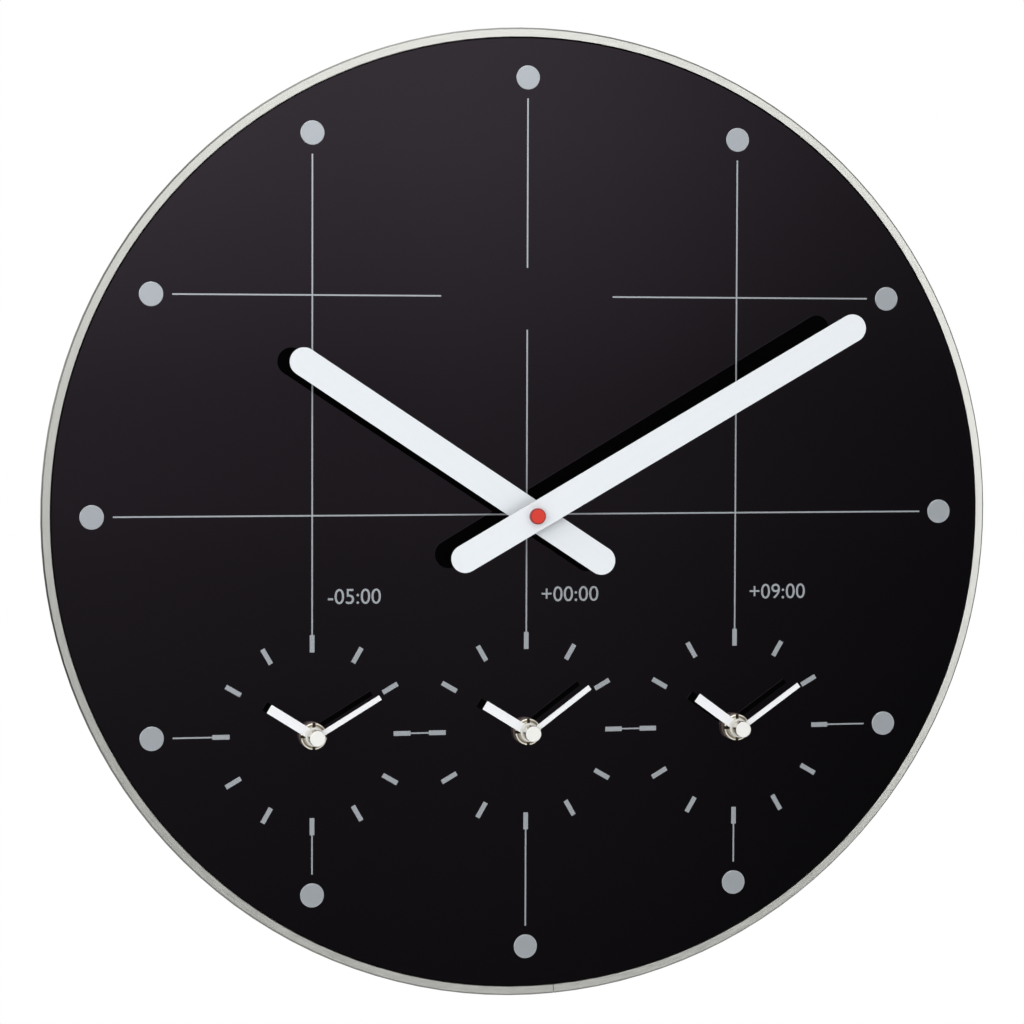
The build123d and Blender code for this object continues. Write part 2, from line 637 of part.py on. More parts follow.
# Assembly
parts = {
    "rim_ring": rim_ring(),
    "rim_splice": rim_splice(),
    "dial_glass": dial_glass(),
    "glass_tape": glass_tape(),
    "hour_dots": hour_dots(),
    "grid_lines": grid_lines(),
    "city_ticks": city_ticks(),
    "main_hanger": main_hanger(),
    "main_hand_cap": main_hand_cap(),
}
groups = {
    "rubber_washers": [],
    "fibre_washers": [],
    "clamp_nuts": [],
    "drive_modules": [],
    "batteries": [],
    "battery_contacts": [],
}

for name, (x, z, case_front) in MOVEMENTS.items():
    on_axis = Pos(x, 0, z)
    in_case = Pos(x, case_front, z)
    if name == "main":
        tube_top = hour_hub_height + COLLET_RISE
        arbor_top = cap_bottom
        thread_top = cap_bottom + CAP_THREAD_LENGTH
        hour_angle = HOUR_HAND_ANGLE
        minute_angle = MINUTE_HAND_ANGLE
        hour_hand = main_hand(
            HOUR_HAND_TIP, HOUR_HAND_TAIL, HOUR_HAND_SLOPE, hour_hub_height, TUBE_DIAMETER)
        minute_hand = main_hand(
            MINUTE_HAND_TIP, MINUTE_HAND_TAIL, MINUTE_HAND_SLOPE, minute_hub_height, ARBOR_DIAMETER)
    else:
        tube_top = city_tube_top
        arbor_top = city_cap_top - CITY_CAP_ROOF - PRESS_CLEARANCE
        thread_top = arbor_top
        hour_angle, minute_angle = CITY_HANDS[name]
        hour_hand = city_hour_hand()
        minute_hand = city_minute_hand()
    parts[name + "_case"] = in_case * movement_case(bush_top + case_front)
    parts[name + "_cover"] = in_case * movement_cover()
    parts[name + "_hour_wheel"] = in_case * hour_wheel(tube_top + case_front)
    parts[name + "_reduction_wheel"] = in_case * reduction_wheel()
    parts[name + "_minute_arbor"] = in_case * minute_arbor(arbor_top + case_front, thread_top + case_front)
    parts[name + "_setting_knob"] = in_case * setting_knob()
    parts[name + "_hour_hand"] = on_axis * Rot(0, hour_angle, 0) * hour_hand
    parts[name + "_minute_hand"] = on_axis * Rot(0, minute_angle, 0) * minute_hand
    groups["rubber_washers"].append(on_axis * rubber_washer())
    groups["fibre_washers"].append(on_axis * fibre_washer())
    groups["clamp_nuts"].append(on_axis * clamp_nut())
    groups["drive_modules"].append(in_case * drive_module())
    groups["batteries"].append(in_case * battery())
    for contact in contacts():
        groups["battery_contacts"].append(in_case * contact)

for name, pieces in groups.items():
    parts[name] = Compound(pieces)

os.makedirs("parts", exist_ok=True)
for name, shape in parts.items():
    export_step(TO_FRAME * shape, "parts/" + name + ".step")
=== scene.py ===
"""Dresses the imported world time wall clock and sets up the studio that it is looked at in.

Every length is in metres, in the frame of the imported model: +Z up, +X to the right as seen from the
front, +Y towards the wall, with the origin in the middle of the hole that the clock hangs by.
"""
import json
import logging
import math
from collections.abc import Callable
from dataclasses import dataclass, field
from enum import Enum

import bmesh
import bpy
from mathutils import Matrix, Vector

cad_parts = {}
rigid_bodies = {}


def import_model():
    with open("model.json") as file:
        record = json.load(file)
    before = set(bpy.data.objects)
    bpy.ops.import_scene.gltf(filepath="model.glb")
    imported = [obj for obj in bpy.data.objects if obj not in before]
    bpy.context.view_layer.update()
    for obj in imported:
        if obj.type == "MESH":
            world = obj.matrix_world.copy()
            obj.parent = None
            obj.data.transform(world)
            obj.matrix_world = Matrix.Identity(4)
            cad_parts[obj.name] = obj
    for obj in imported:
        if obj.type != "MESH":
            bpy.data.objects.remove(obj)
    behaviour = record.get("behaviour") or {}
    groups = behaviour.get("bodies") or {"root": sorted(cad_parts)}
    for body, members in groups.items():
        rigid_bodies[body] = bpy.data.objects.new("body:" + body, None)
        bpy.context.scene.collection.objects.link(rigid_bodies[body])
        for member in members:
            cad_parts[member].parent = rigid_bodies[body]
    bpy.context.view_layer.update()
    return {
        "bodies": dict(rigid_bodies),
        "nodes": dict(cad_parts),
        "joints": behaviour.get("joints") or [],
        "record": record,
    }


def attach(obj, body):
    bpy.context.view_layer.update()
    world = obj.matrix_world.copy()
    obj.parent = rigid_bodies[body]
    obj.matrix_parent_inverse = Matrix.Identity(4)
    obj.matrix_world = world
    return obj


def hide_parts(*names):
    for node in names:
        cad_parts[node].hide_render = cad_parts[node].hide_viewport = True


LOG = logging.getLogger("clock")

Colour = tuple[float, float, float]
Place = tuple[float, float, float]
Span = tuple[float, float]
Levels = tuple[tuple[float, float], ...]
Socket = bpy.types.NodeSocket
Value = Socket | float | Colour | Vector
Object = bpy.types.Object
Face = bmesh.types.BMFace
Edge = bmesh.types.BMEdge

WHITE: Colour = (1.0, 1.0, 1.0)
RIGHT = Vector((1.0, 0.0, 0.0))
BACK = Vector((0.0, 1.0, 0.0))
UP = Vector((0.0, 0.0, 1.0))
AXIS_X, AXIS_Y, AXIS_Z = range(3)
QUARTER_TURN = math.pi / 2

DIAL_MIDDLE = Vector((0.0, -0.0055, -0.038))
DIAL_PITCH = 0.0965

# points closer than TOUCH are one point, and points closer than NEAR lie on one surface
TOUCH = 1e-6
NEAR = 1e-5
# least cosine between two directions that count as one
ONE_WAY = 0.95
# limits of the grain between which the gloss changes
GRAIN_SPAN: Span = (0.2, 0.8)
# limits of the turn to the wall between which a back begins
BACK_SPAN: Span = (0.3, 0.7)
# how closely the tool marks follow each other along the rim
MARKS_PER_RADIAN = 30.0
# places of the colour sockets on a Mix node
MIX_FIRST, MIX_SECOND, MIX_RESULT = 6, 7, 2
# mark on the materials that this script has built
FINISH_MARK = "finish"


class Seat(Enum):
    """The four places in the glass that hold a movement, as steps of the dial's grid."""

    MAIN = ("main", 0, 0)
    LEFT = ("left", -1, -1)
    MIDDLE = ("middle", 0, -1)
    RIGHT = ("right", 1, -1)

    @property
    def label(self) -> str:
        """Name that the seat's nodes start with."""
        return self.value[0]

    @property
    def axis(self) -> Vector:
        """Point of the seat's axis in the front of the glass."""
        return DIAL_MIDDLE + Vector((self.value[1], 0.0, self.value[2])) * DIAL_PITCH

    def shift(self, depth: float) -> Matrix:
        """Give the move that takes a copy from the main seat to this one.

        Args:
            depth: How far the copy also moves to the wall.

        Returns:
            The move.
        """
        step = self.axis - Seat.MAIN.axis
        step.y = depth
        return Matrix.Translation(step)


CITY_SEATS = (Seat.LEFT, Seat.MIDDLE, Seat.RIGHT)


class Lay(Enum):
    """How the marks of a tool lie on a surface."""

    NONE = "none"
    ROUND_RIM = "round the rim"
    ROUND_SEATS = "round each seat"


class Ray(Enum):
    """Kinds of light ray that nodes can tell apart."""

    CAMERA = "Is Camera Ray"
    GLOSSY = "Is Glossy Ray"
    TRANSMISSION = "Is Transmission Ray"


class Element(Enum):
    """What a test on the bench looks at."""

    FACE = "faces"
    EDGE = "edges"


class Nodes:
    """Adds nodes to one tree and links them."""

    def __init__(self, tree: bpy.types.NodeTree) -> None:
        """Take over a tree and clear it.

        Args:
            tree: The nodes of a material or of the surroundings.
        """
        self.tree = tree
        tree.nodes.clear()
        self.coordinates = self.add("TexCoord")

    def add(self, kind: str, **options: str) -> bpy.types.Node:
        """Add a node.

        Args:
            kind: The node's type, without the ShaderNode that it starts with.
            options: Its options, such as its operation.

        Returns:
            The node.
        """
        node = self.tree.nodes.new(f"ShaderNode{kind}")
        for name, option in options.items():
            setattr(node, name, option)
        return node

    def fill(self, socket: Socket, value: Value) -> None:
        """Give a socket a link or a fixed value.

        Args:
            socket: The input to fill.
            value: Another node's output, a number, a colour or a vector.
        """
        if isinstance(value, bpy.types.NodeSocket):
            self.tree.links.new(value, socket)
        elif isinstance(value, (int, float)):
            socket.default_value = value
        elif socket.type == "RGBA":
            socket.default_value = (*value, 1.0)
        else:
            socket.default_value = tuple(value)

    def put(self, node: bpy.types.Node, values: dict[str, Value]) -> None:
        """Fill inputs of a node by their names."""
        for name, value in values.items():
            self.fill(node.inputs[name], value)

    def feed(self, node: bpy.types.Node, *values: Value) -> Socket:
        """Fill the first inputs of a node.

        Args:
            node: The node.
            values: What goes into its inputs, in order.

        Returns:
            The node's first output.
        """
        for socket, value in zip(node.inputs, values):
            self.fill(socket, value)
        return node.outputs[0]

    def parts(self, vector: Socket) -> tuple[Socket, Socket, Socket]:
        """Split a vector into x, y and z."""
        x = self.feed(self.add("SeparateXYZ"), vector)
        return tuple(x.node.outputs)

    def pack(self, x: Socket, y: Socket, z: Socket) -> Socket:
        """Join x, y and z into a vector."""
        return self.feed(self.add("CombineXYZ"), x, y, z)

    def calc(self, operation: str, *values: Socket | float) -> Socket:
        """Work out one operation of the Math node on values."""
        return self.feed(self.add("Math", operation=operation), *values)

    def reach(self, one: Socket, other: Socket) -> Socket:
        """Give the length of the diagonal over two sides."""
        squares = [self.calc("MULTIPLY", side, side) for side in (one, other)]
        return self.calc("SQRT", self.calc("ADD", *squares))

    def ramp(self, value: Socket, low: float, high: float, first: float = 0.0, last: float = 1.0) -> Socket:
        """Ease from a first number to a last while a value rises from low to high."""
        node = self.add("MapRange", interpolation_type="SMOOTHSTEP")
        return self.feed(node, value, low, high, first, last)

    def follow(self, value: Socket, table: Levels) -> Socket:
        """Follow a table of levels while a value rises.

        Args:
            value: The value that rises.
            table: Pairs of value and level, in rising order.

        Returns:
            The level.
        """
        low = table[0][0]
        high = table[-1][0]
        peak = max(level for _, level in table)
        ramp = self.add("ValToRGB")
        ramp.color_ramp.interpolation = "CARDINAL"
        stops = ramp.color_ramp.elements
        # a new stop starts anywhere and gets its position below
        while len(stops) < len(table):
            stops.new(0.5)
        for stop, (position, level) in zip(stops, table):
            stop.position = (position - low) / (high - low)
            stop.color = (level / peak, level / peak, level / peak, 1.0)
        share = self.feed(self.add("MapRange"), value, low, high)
        # the stops hold no more than 1, so the peak is multiplied back
        return self.calc("MULTIPLY", self.feed(ramp, share), peak)

    def noise(self, vector: Socket, scale: float, layers: float) -> Socket:
        """Give a soft noise.

        Args:
            vector: Coordinates that the noise lies on.
            scale: Grains per unit of the coordinates.
            layers: How many finer layers are added.

        Returns:
            The noise, about 0 to 1.
        """
        node = self.add("TexNoise")
        self.put(node, {"Vector": vector, "Scale": scale, "Detail": layers})
        return node.outputs["Fac"]

    def flakes(self, vector: Socket, scale: float) -> Socket:
        """Give a random grey to each cell of a crazed pattern.

        Args:
            vector: Coordinates that the cells lie on.
            scale: Cells per unit of the coordinates.

        Returns:
            The grey, 0 to 1.
        """
        node = self.add("TexVoronoi")
        self.put(node, {"Vector": vector, "Scale": scale})
        return self.parts(node.outputs["Color"])[0]

    def mix(self, share: Socket, first: Socket | Colour, second: Socket | Colour) -> Socket:
        """Blend two colours.

        Args:
            share: How much of the second, 0 to 1.
            first: Colour at 0.
            second: Colour at 1.

        Returns:
            The blended colour.
        """
        node = self.add("Mix", data_type="RGBA")
        self.fill(node.inputs["Factor"], share)
        self.fill(node.inputs[MIX_FIRST], first)
        self.fill(node.inputs[MIX_SECOND], second)
        return node.outputs[MIX_RESULT]

    def hit_by(self, *kinds: Ray) -> Socket:
        """Tell some kinds of ray from all others.

        Args:
            kinds: The kinds of ray.

        Returns:
            1 for those kinds and 0 for the others.
        """
        path = self.add("LightPath")
        hit = path.outputs[kinds[0].value]
        for kind in kinds[1:]:
            hit = self.calc("MAXIMUM", hit, path.outputs[kind.value])
        return hit


class Desk(Nodes):
    """Lays out the nodes of one material round its shader."""

    def __init__(self, name: str) -> None:
        """Start a material with only a shader and its output.

        Args:
            name: Name of the material.
        """
        self.sheet = bpy.data.materials.new(name)
        self.sheet.use_nodes = True
        super().__init__(self.sheet.node_tree)
        self.shader = self.add("BsdfPrincipled")
        self.output = self.add("OutputMaterial")
        self.put(self.output, {"Surface": self.shader.outputs["BSDF"]})

    def place(self, middle: Vector) -> Socket:
        """Give the Object coordinates of the surface about a middle."""
        node = self.add("VectorMath", operation="SUBTRACT")
        return self.feed(node, self.coordinates.outputs["Object"], middle)

    def relief(self, height: Socket, depth: float) -> None:
        """Emboss the surface.

        Args:
            height: Relief, 0 to 1.
            depth: Height of the relief from 0 to 1.
        """
        node = self.add("Bump")
        self.put(node, {"Strength": 1.0, "Distance": depth, "Height": height})
        self.put(self.shader, {"Normal": node.outputs["Normal"]})

    def turned(self, span: Span) -> Socket:
        """Ease from 0 to 1 over a span of how far the surface looks to the wall, -1 to 1."""
        _, facing, _ = self.parts(self.coordinates.outputs["Normal"])
        return self.ramp(facing, *span)

    def from_seat(self, distance: Socket) -> Socket:
        """Count a distance along the dial's grid from the nearest seat."""
        return self.calc("WRAP", distance, DIAL_PITCH / 2, -DIAL_PITCH / 2)

    def seat_distance(self) -> Socket:
        """Give the distance from the axis of the nearest seat."""
        x, _, z = self.parts(self.place(DIAL_MIDDLE))
        return self.reach(self.from_seat(x), self.from_seat(z))


@dataclass(frozen=True)
class Finish:
    """A surface whose tone, gloss and relief follow one grain."""

    name: str
    colour: Colour
    roughness: float
    metallic: float = 0.0
    specular: float = 0.5
    tone_spread: float = 0.08
    gloss_spread: float = 0.08
    grain: float = 1500.0
    layers: float = 3.0
    depth: float = 0.000008
    lay: Lay = Lay.NONE

    def pattern(self, desk: Desk) -> Socket:
        """Give the grain of the surface.

        Args:
            desk: The material that is laid out.

        Returns:
            The grain, about 0 to 1.
        """
        here = desk.place(DIAL_MIDDLE)
        if self.lay is Lay.NONE:
            return desk.noise(here, self.grain, self.layers)
        x, y, z = desk.parts(here)
        if self.lay is Lay.ROUND_SEATS:
            radius = desk.calc("MULTIPLY", desk.seat_distance(), self.grain)
            depth = desk.calc("MULTIPLY", y, self.grain)
            return desk.noise(desk.pack(radius, depth, depth), 1.0, self.layers)
        radius = desk.reach(x, z)
        shares = [desk.calc("DIVIDE", side, radius) for side in (x, z)]
        along = [desk.calc("MULTIPLY", share, MARKS_PER_RADIAN) for share in shares]
        across = desk.calc("MULTIPLY", desk.calc("ADD", radius, y), self.grain)
        return desk.noise(desk.pack(*along, across), 1.0, self.layers)

    def tint(self, desk: Desk, grain: Socket) -> Socket:
        """Give the colour of the surface.

        Args:
            desk: The material that is laid out.
            grain: The grain of the surface.

        Returns:
            The colour.
        """
        dark = tuple(part * (1 - self.tone_spread) for part in self.colour)
        pale = tuple(min(1.0, part * (1 + self.tone_spread)) for part in self.colour)
        return desk.mix(grain, dark, pale)

    def gloss(self, desk: Desk, grain: Socket) -> Socket:
        """Give the roughness of the surface, which follows its grain."""
        spread = self.gloss_spread
        return desk.ramp(grain, *GRAIN_SPAN, self.roughness - spread, self.roughness + spread)

    def material(self) -> bpy.types.Material:
        """Build the material, or hand out the one that is built.

        Returns:
            The material.
        """
        built = bpy.data.materials.get(self.name)
        if built is not None and built.get(FINISH_MARK):
            return built
        desk = Desk(self.name)
        desk.sheet[FINISH_MARK] = True
        desk.put(desk.shader, {"Metallic": self.metallic, "Specular IOR Level": self.specular})
        grain = self.pattern(desk)
        tint = self.tint(desk, grain)
        desk.put(desk.shader, {"Base Color": tint, "Roughness": self.gloss(desk, grain)})
        desk.relief(grain, self.depth)
        self.extras(desk)
        return desk.sheet

    def extras(self, desk: Desk) -> None:
        """Set what only this finish has, on the shader's own sockets."""


@dataclass(frozen=True)
class DialGlass(Finish):
    """Black glass, polished in front and painted behind, with faint wipe marks."""

    paint: Colour = (0.036, 0.040, 0.037)
    paint_roughness: float = 0.55
    tinge: Colour = (0.97, 0.77, 1.0)
    wipe_stretch: float = 3.0

    def pattern(self, desk: Desk) -> Socket:
        """Give broad wipe marks that lean to the right.

        Args:
            desk: The material that is laid out.

        Returns:
            The marks, about 0 to 1.
        """
        x, y, z = desk.parts(desk.place(DIAL_MIDDLE))
        across = desk.calc("MULTIPLY", desk.calc("SUBTRACT", x, z), self.wipe_stretch)
        along = desk.calc("ADD", x, z)
        return desk.noise(desk.pack(across, y, along), self.grain, self.layers)

    def tint(self, desk: Desk, grain: Socket) -> Socket:
        """Give the black of the glass in front and of the paint behind."""
        return desk.mix(desk.turned(BACK_SPAN), super().tint(desk, grain), self.paint)

    def gloss(self, desk: Desk, grain: Socket) -> Socket:
        """Give the polish in front and the dull paint behind."""
        rise = desk.calc("MULTIPLY", desk.turned(BACK_SPAN), self.paint_roughness)
        return desk.calc("ADD", super().gloss(desk, grain), rise)

    def extras(self, desk: Desk) -> None:
        """Give the reflection its slight violet tinge."""
        desk.put(desk.shader, {"Specular Tint": self.tinge})


@dataclass(frozen=True)
class HandPaint(Finish):
    """Sprayed hand: pale in front and round the edge, black underneath."""

    underside: Colour = (0.002, 0.002, 0.002)

    def tint(self, desk: Desk, grain: Socket) -> Socket:
        """Give the paint and the black underside."""
        return desk.mix(desk.turned(BACK_SPAN), super().tint(desk, grain), self.underside)


@dataclass(frozen=True)
class HubbedPaint(HandPaint):
    """Sprayed hand on a turned hub, which is cream in front and bare polished metal round its wall."""

    hub: Colour = (0.80, 0.80, 0.77)
    hub_radius: float = 0.0043
    wall: Colour = (0.74, 0.71, 0.64)
    wall_roughness: float = 0.22
    wall_span: Span = (-0.8, -0.4)

    def inside(self, desk: Desk) -> Socket:
        """Give 1 on the hub and 0 on the blade."""
        return desk.calc("LESS_THAN", desk.seat_distance(), self.hub_radius)

    def bare(self, desk: Desk) -> Socket:
        """Give 1 on the wall of the hub and 0 elsewhere."""
        return desk.calc("MULTIPLY", self.inside(desk), desk.turned(self.wall_span))

    def tint(self, desk: Desk, grain: Socket) -> Socket:
        """Give the paint of the blade, the cream of the hub and its metal wall."""
        colour = desk.mix(self.inside(desk), super().tint(desk, grain), self.hub)
        return desk.mix(self.bare(desk), colour, self.wall)

    def gloss(self, desk: Desk, grain: Socket) -> Socket:
        """Give the paint's roughness and the polish of the wall."""
        drop = desk.calc("MULTIPLY", self.bare(desk), self.roughness - self.wall_roughness)
        return desk.calc("SUBTRACT", super().gloss(desk, grain), drop)

    def extras(self, desk: Desk) -> None:
        """Make only the wall of the hub metal."""
        desk.put(desk.shader, {"Metallic": self.bare(desk)})


@dataclass(frozen=True)
class EdgedCap(Finish):
    """Moulded cap whose rounded edge carries painted shade, darker than its face."""

    # painted shade: dark red standing for the shaded side of the cap's rounded edge
    edge: Colour = (0.27, 0.014, 0.013)
    edge_radius: float = 0.0029
    blur: float = 0.0002

    def tint(self, desk: Desk, grain: Socket) -> Socket:
        """Give the face its colour and the edge a dark line of painted shade."""
        outside = desk.ramp(desk.seat_distance(), self.edge_radius, self.edge_radius + self.blur)
        return desk.mix(outside, super().tint(desk, grain), self.edge)


@dataclass(frozen=True)
class TurnedNut(Finish):
    """Plated nut with a ring of painted shade round the collet on its face and painted shade down in its
    slots.
    """

    # painted shade: dark ring standing for the shade between the nut and the hand's collet
    tarnish: Colour = (0.40, 0.34, 0.26)
    ring_inner: float = 0.0045
    ring_outer: float = 0.0053
    blur: float = 0.0002
    # painted shade: dark colour standing for the shade down in the slots
    dirt: Colour = (0.06, 0.045, 0.035)
    slot_floor: float = -0.0045
    face_span: Span = (-0.9, -0.7)

    def tint(self, desk: Desk, grain: Socket) -> Socket:
        """Give the plating, the painted shade ring round the collet and the painted shade in the slots.

        Args:
            desk: The material that is laid out.
            grain: The grain of the surface.

        Returns:
            The colour.
        """
        reach = desk.seat_distance()
        begun = desk.ramp(reach, self.ring_inner - self.blur, self.ring_inner + self.blur)
        ended = desk.ramp(reach, self.ring_outer - self.blur, self.ring_outer + self.blur, 1.0, 0.0)
        ring = desk.calc("MULTIPLY", begun, ended)
        # painted shade ring round the collet
        colour = desk.mix(ring, super().tint(desk, grain), self.tarnish)
        _, depth, _ = desk.parts(desk.place(DIAL_MIDDLE))
        sunk = desk.calc("GREATER_THAN", depth, self.slot_floor)
        front = desk.calc("SUBTRACT", 1.0, desk.turned(self.face_span))
        # painted shade on the sunk slot faces
        return desk.mix(desk.calc("MULTIPLY", front, sunk), colour, self.dirt)


@dataclass(frozen=True)
class RimMetal(Finish):
    """Satin metal with drawing marks round the ring, a dark line of painted reflection on the slanted edge
    in front, and a duller wall behind.
    """

    # painted reflection: the dark line stands for the dim surroundings that the rounded front edge mirrors
    cut: Colour = (0.20, 0.20, 0.19)
    cut_span: Span = (-0.95, -0.85)
    wall_dark: Colour = (0.44, 0.44, 0.42)
    wall_pale: Colour = (0.60, 0.60, 0.575)
    wall_grain: Span = (0.3, 0.7)
    wall_span: Span = (-0.55, -0.4)

    def tint(self, desk: Desk, grain: Socket) -> Socket:
        """Give the pale band, the dark line of painted reflection on the slanted front edge, and the wall
        behind.

        Args:
            desk: The material that is laid out.
            grain: The grain of the surface.

        Returns:
            The colour.
        """
        wall = desk.mix(desk.ramp(grain, *self.wall_grain), self.wall_dark, self.wall_pale)
        behind = desk.mix(desk.turned(self.wall_span), self.cut, wall)
        # the slanted front edge gets the painted reflection of dim surroundings
        return desk.mix(desk.turned(self.cut_span), super().tint(desk, grain), behind)


@dataclass(frozen=True)
class PlatedSheet(Finish):
    """Plated steel with the crazed tone of its coating."""

    flake_share: float = 0.6
    fine_grain: float = 5.0

    def pattern(self, desk: Desk) -> Socket:
        """Give flakes of plating with a fine grain over them.

        Args:
            desk: The material that is laid out.

        Returns:
            The grain, 0 to 1.
        """
        here = desk.place(DIAL_MIDDLE)
        flakes = desk.calc("MULTIPLY", desk.flakes(here, self.grain), self.flake_share)
        fine = desk.noise(here, self.grain * self.fine_grain, self.layers)
        return desk.calc("ADD", flakes, desk.calc("MULTIPLY", fine, 1.0 - self.flake_share))


@dataclass(frozen=True)
class CellJacket(Finish):
    """Printed film round a cell, with a plain pale band at the end of the nub."""

    band: Colour = (0.62, 0.63, 0.62)
    band_start: float = 0.0125
    band_end: float = 0.0225

    def tint(self, desk: Desk, grain: Socket) -> Socket:
        """Give the film its band, at the same place on every cell.

        Args:
            desk: The material that is laid out.
            grain: The grain of the surface.

        Returns:
            The colour.
        """
        x, _, _ = desk.parts(desk.place(DIAL_MIDDLE))
        along = desk.from_seat(x)
        after = desk.calc("GREATER_THAN", along, self.band_start)
        before = desk.calc("LESS_THAN", along, self.band_end)
        return desk.mix(desk.calc("MULTIPLY", after, before), super().tint(desk, grain), self.band)


RIM_METAL = RimMetal(
    "rim_satin_metal", (0.86, 0.86, 0.815), 0.32, metallic=1.0, tone_spread=0.04, gloss_spread=0.04,
    grain=2600.0, depth=0.0000015, lay=Lay.ROUND_RIM)
GLASS = DialGlass(
    "dial_black_glass", (0.0012, 0.0012, 0.0012), 0.035, gloss_spread=0.012, grain=9.0, layers=4.0,
    depth=0.0)
TAPE = Finish("glass_foam_tape", (0.03, 0.03, 0.03), 0.85, grain=2500.0, depth=0.00006)
SILVER_INK = Finish(
    "dial_silver_ink", (0.53, 0.57, 0.61), 0.13, metallic=0.49, tone_spread=0.06, gloss_spread=0.03,
    grain=4000.0, depth=0.000001)
STEEL = PlatedSheet(
    "plated_steel", (0.58, 0.58, 0.57), 0.36, metallic=1.0, tone_spread=0.07, gloss_spread=0.025,
    grain=900.0, layers=2.0)
RED_CAP = EdgedCap(
    "red_cap_plastic", (0.64, 0.036, 0.020), 0.36, tone_spread=0.05, grain=2500.0, depth=0.000004)
RUBBER = Finish("washer_rubber", (0.02, 0.02, 0.02), 0.8, grain=3000.0, depth=0.00002)
FIBRE = Finish("washer_fibre", (0.30, 0.15, 0.07), 0.75, tone_spread=0.2, grain=1800.0, depth=0.00002)
NICKEL = TurnedNut(
    "nut_nickel", (0.95, 0.90, 0.79), 0.40, metallic=1.0, grain=5000.0, layers=2.0, depth=0.000006,
    lay=Lay.ROUND_SEATS)
CASE_MOULD = Finish(
    "case_black_mould", (0.018, 0.018, 0.020), 0.56, tone_spread=0.2, grain=3200.0, depth=0.00003)
COVER_MOULD = Finish(
    "cover_black_mould", (0.022, 0.022, 0.024), 0.44, tone_spread=0.15, grain=5200.0, depth=0.000014)
RUBBED_MOULD = Finish(
    "sign_rubbed_mould", (0.16, 0.16, 0.165), 0.50, tone_spread=0.25, grain=4200.0, depth=0.000014)
WHEEL = Finish("wheel_acetal", (0.80, 0.80, 0.76), 0.38, tone_spread=0.03, grain=900.0, depth=0.000004)
BRASS = Finish(
    "arbor_brass", (0.72, 0.53, 0.23), 0.26, metallic=1.0, grain=6000.0, layers=2.0, depth=0.000004,
    lay=Lay.ROUND_SEATS)
KNOB = Finish("knob_pale_mould", (0.56, 0.56, 0.54), 0.46, tone_spread=0.03, grain=3000.0, depth=0.00001)
MAIN_PAINT = HandPaint(
    "main_hand_paint", (0.77, 0.806, 0.84), 0.42, tone_spread=0.012, gloss_spread=0.04, grain=1100.0,
    depth=0.000003)
CITY_PAINT = HubbedPaint(
    "city_hand_paint", (0.825, 0.835, 0.862), 0.40, tone_spread=0.015, gloss_spread=0.04, grain=1600.0,
    depth=0.000003)
JACKET = CellJacket(
    "cell_jacket_film", (0.085, 0.11, 0.15), 0.30, tone_spread=0.06, grain=700.0, depth=0.000004)
CELL_END = Finish("cell_end_plate", (0.66, 0.66, 0.65), 0.3, metallic=1.0, depth=0.000006)


def dress(frame: dict, finish: Finish, *nodes: str) -> None:
    """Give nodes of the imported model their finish.

    Args:
        finish: The finish.
        nodes: Names of the nodes.
    """
    for node in nodes:
        mesh = frame["nodes"][node].data
        mesh.materials.clear()
        mesh.materials.append(finish.material())
        LOG.info("dressed %s in %s", node, finish.name)


class Bench:
    """Shapes one new piece with Blender's own operators."""

    def __init__(self, name: str) -> None:
        """Clear the bench for a piece of this name."""
        self.name = name
        bpy.ops.object.select_all(action="DESELECT")

    @property
    def piece(self) -> Object:
        """The object on the bench."""
        return bpy.context.view_layer.objects.active

    def settle(self) -> None:
        """Name the new primitive and put its place into its mesh."""
        self.piece.name = self.name
        self.piece.data.name = self.name
        bpy.ops.object.transform_apply(location=True, rotation=True, scale=True)

    def edit(self) -> None:
        """Go to edit mode with everything selected."""
        bpy.ops.object.mode_set(mode="EDIT")
        bpy.ops.mesh.select_all(action="SELECT")

    def done(self) -> None:
        """Go back to object mode."""
        bpy.ops.object.mode_set(mode="OBJECT")

    def pick(self, kind: Element, test: Callable[[Face | Edge], bool]) -> None:
        """Select the faces or the edges that pass a test, and nothing else.

        Args:
            kind: Which of the two are tested.
            test: Says whether one is wanted.
        """
        bpy.ops.mesh.select_all(action="DESELECT")
        bpy.ops.mesh.select_mode(type=kind.name)
        mesh = bmesh.from_edit_mesh(self.piece.data)
        for element in getattr(mesh, kind.value):
            if test(element):
                element.select_set(True)
        bmesh.update_edit_mesh(self.piece.data)

    def extrude(self, step: Vector) -> None:
        """Extrude what is selected by a step."""
        bpy.ops.mesh.extrude_region_move(TRANSFORM_OT_translate={"value": tuple(step)})

    def inset(self, margin: float) -> None:
        """Inset the selected faces, level with them."""
        bpy.ops.mesh.inset(thickness=margin, depth=0.0)

    def round_off(self, offset: float, steps: int) -> None:
        """Round off the selected edges."""
        bpy.ops.mesh.bevel(offset=offset, segments=steps, affect="EDGES")

    def spread(self, factor: float, middle: Vector) -> None:
        """Scale what is selected along the dial about a middle."""
        bpy.ops.transform.resize(value=(factor, 1.0, factor), center_override=middle)

    def outward(self) -> None:
        """Turn every face of the piece to look outward."""
        bpy.ops.mesh.select_all(action="SELECT")
        bpy.ops.mesh.normals_make_consistent(inside=False)

    def smooth(self, degrees: float) -> None:
        """Shade smooth up to an angle."""
        bpy.ops.object.shade_smooth_by_angle(angle=math.radians(degrees))


def looks(face: Face, way: Vector) -> bool:
    """Say whether a face looks one way."""
    return face.normal.dot(way) > ONE_WAY


def lies_at(edge: Edge, axis: int, level: float) -> bool:
    """Say whether an edge lies at one level of an axis."""
    return all(abs(vert.co[axis] - level) < TOUCH for vert in edge.verts)


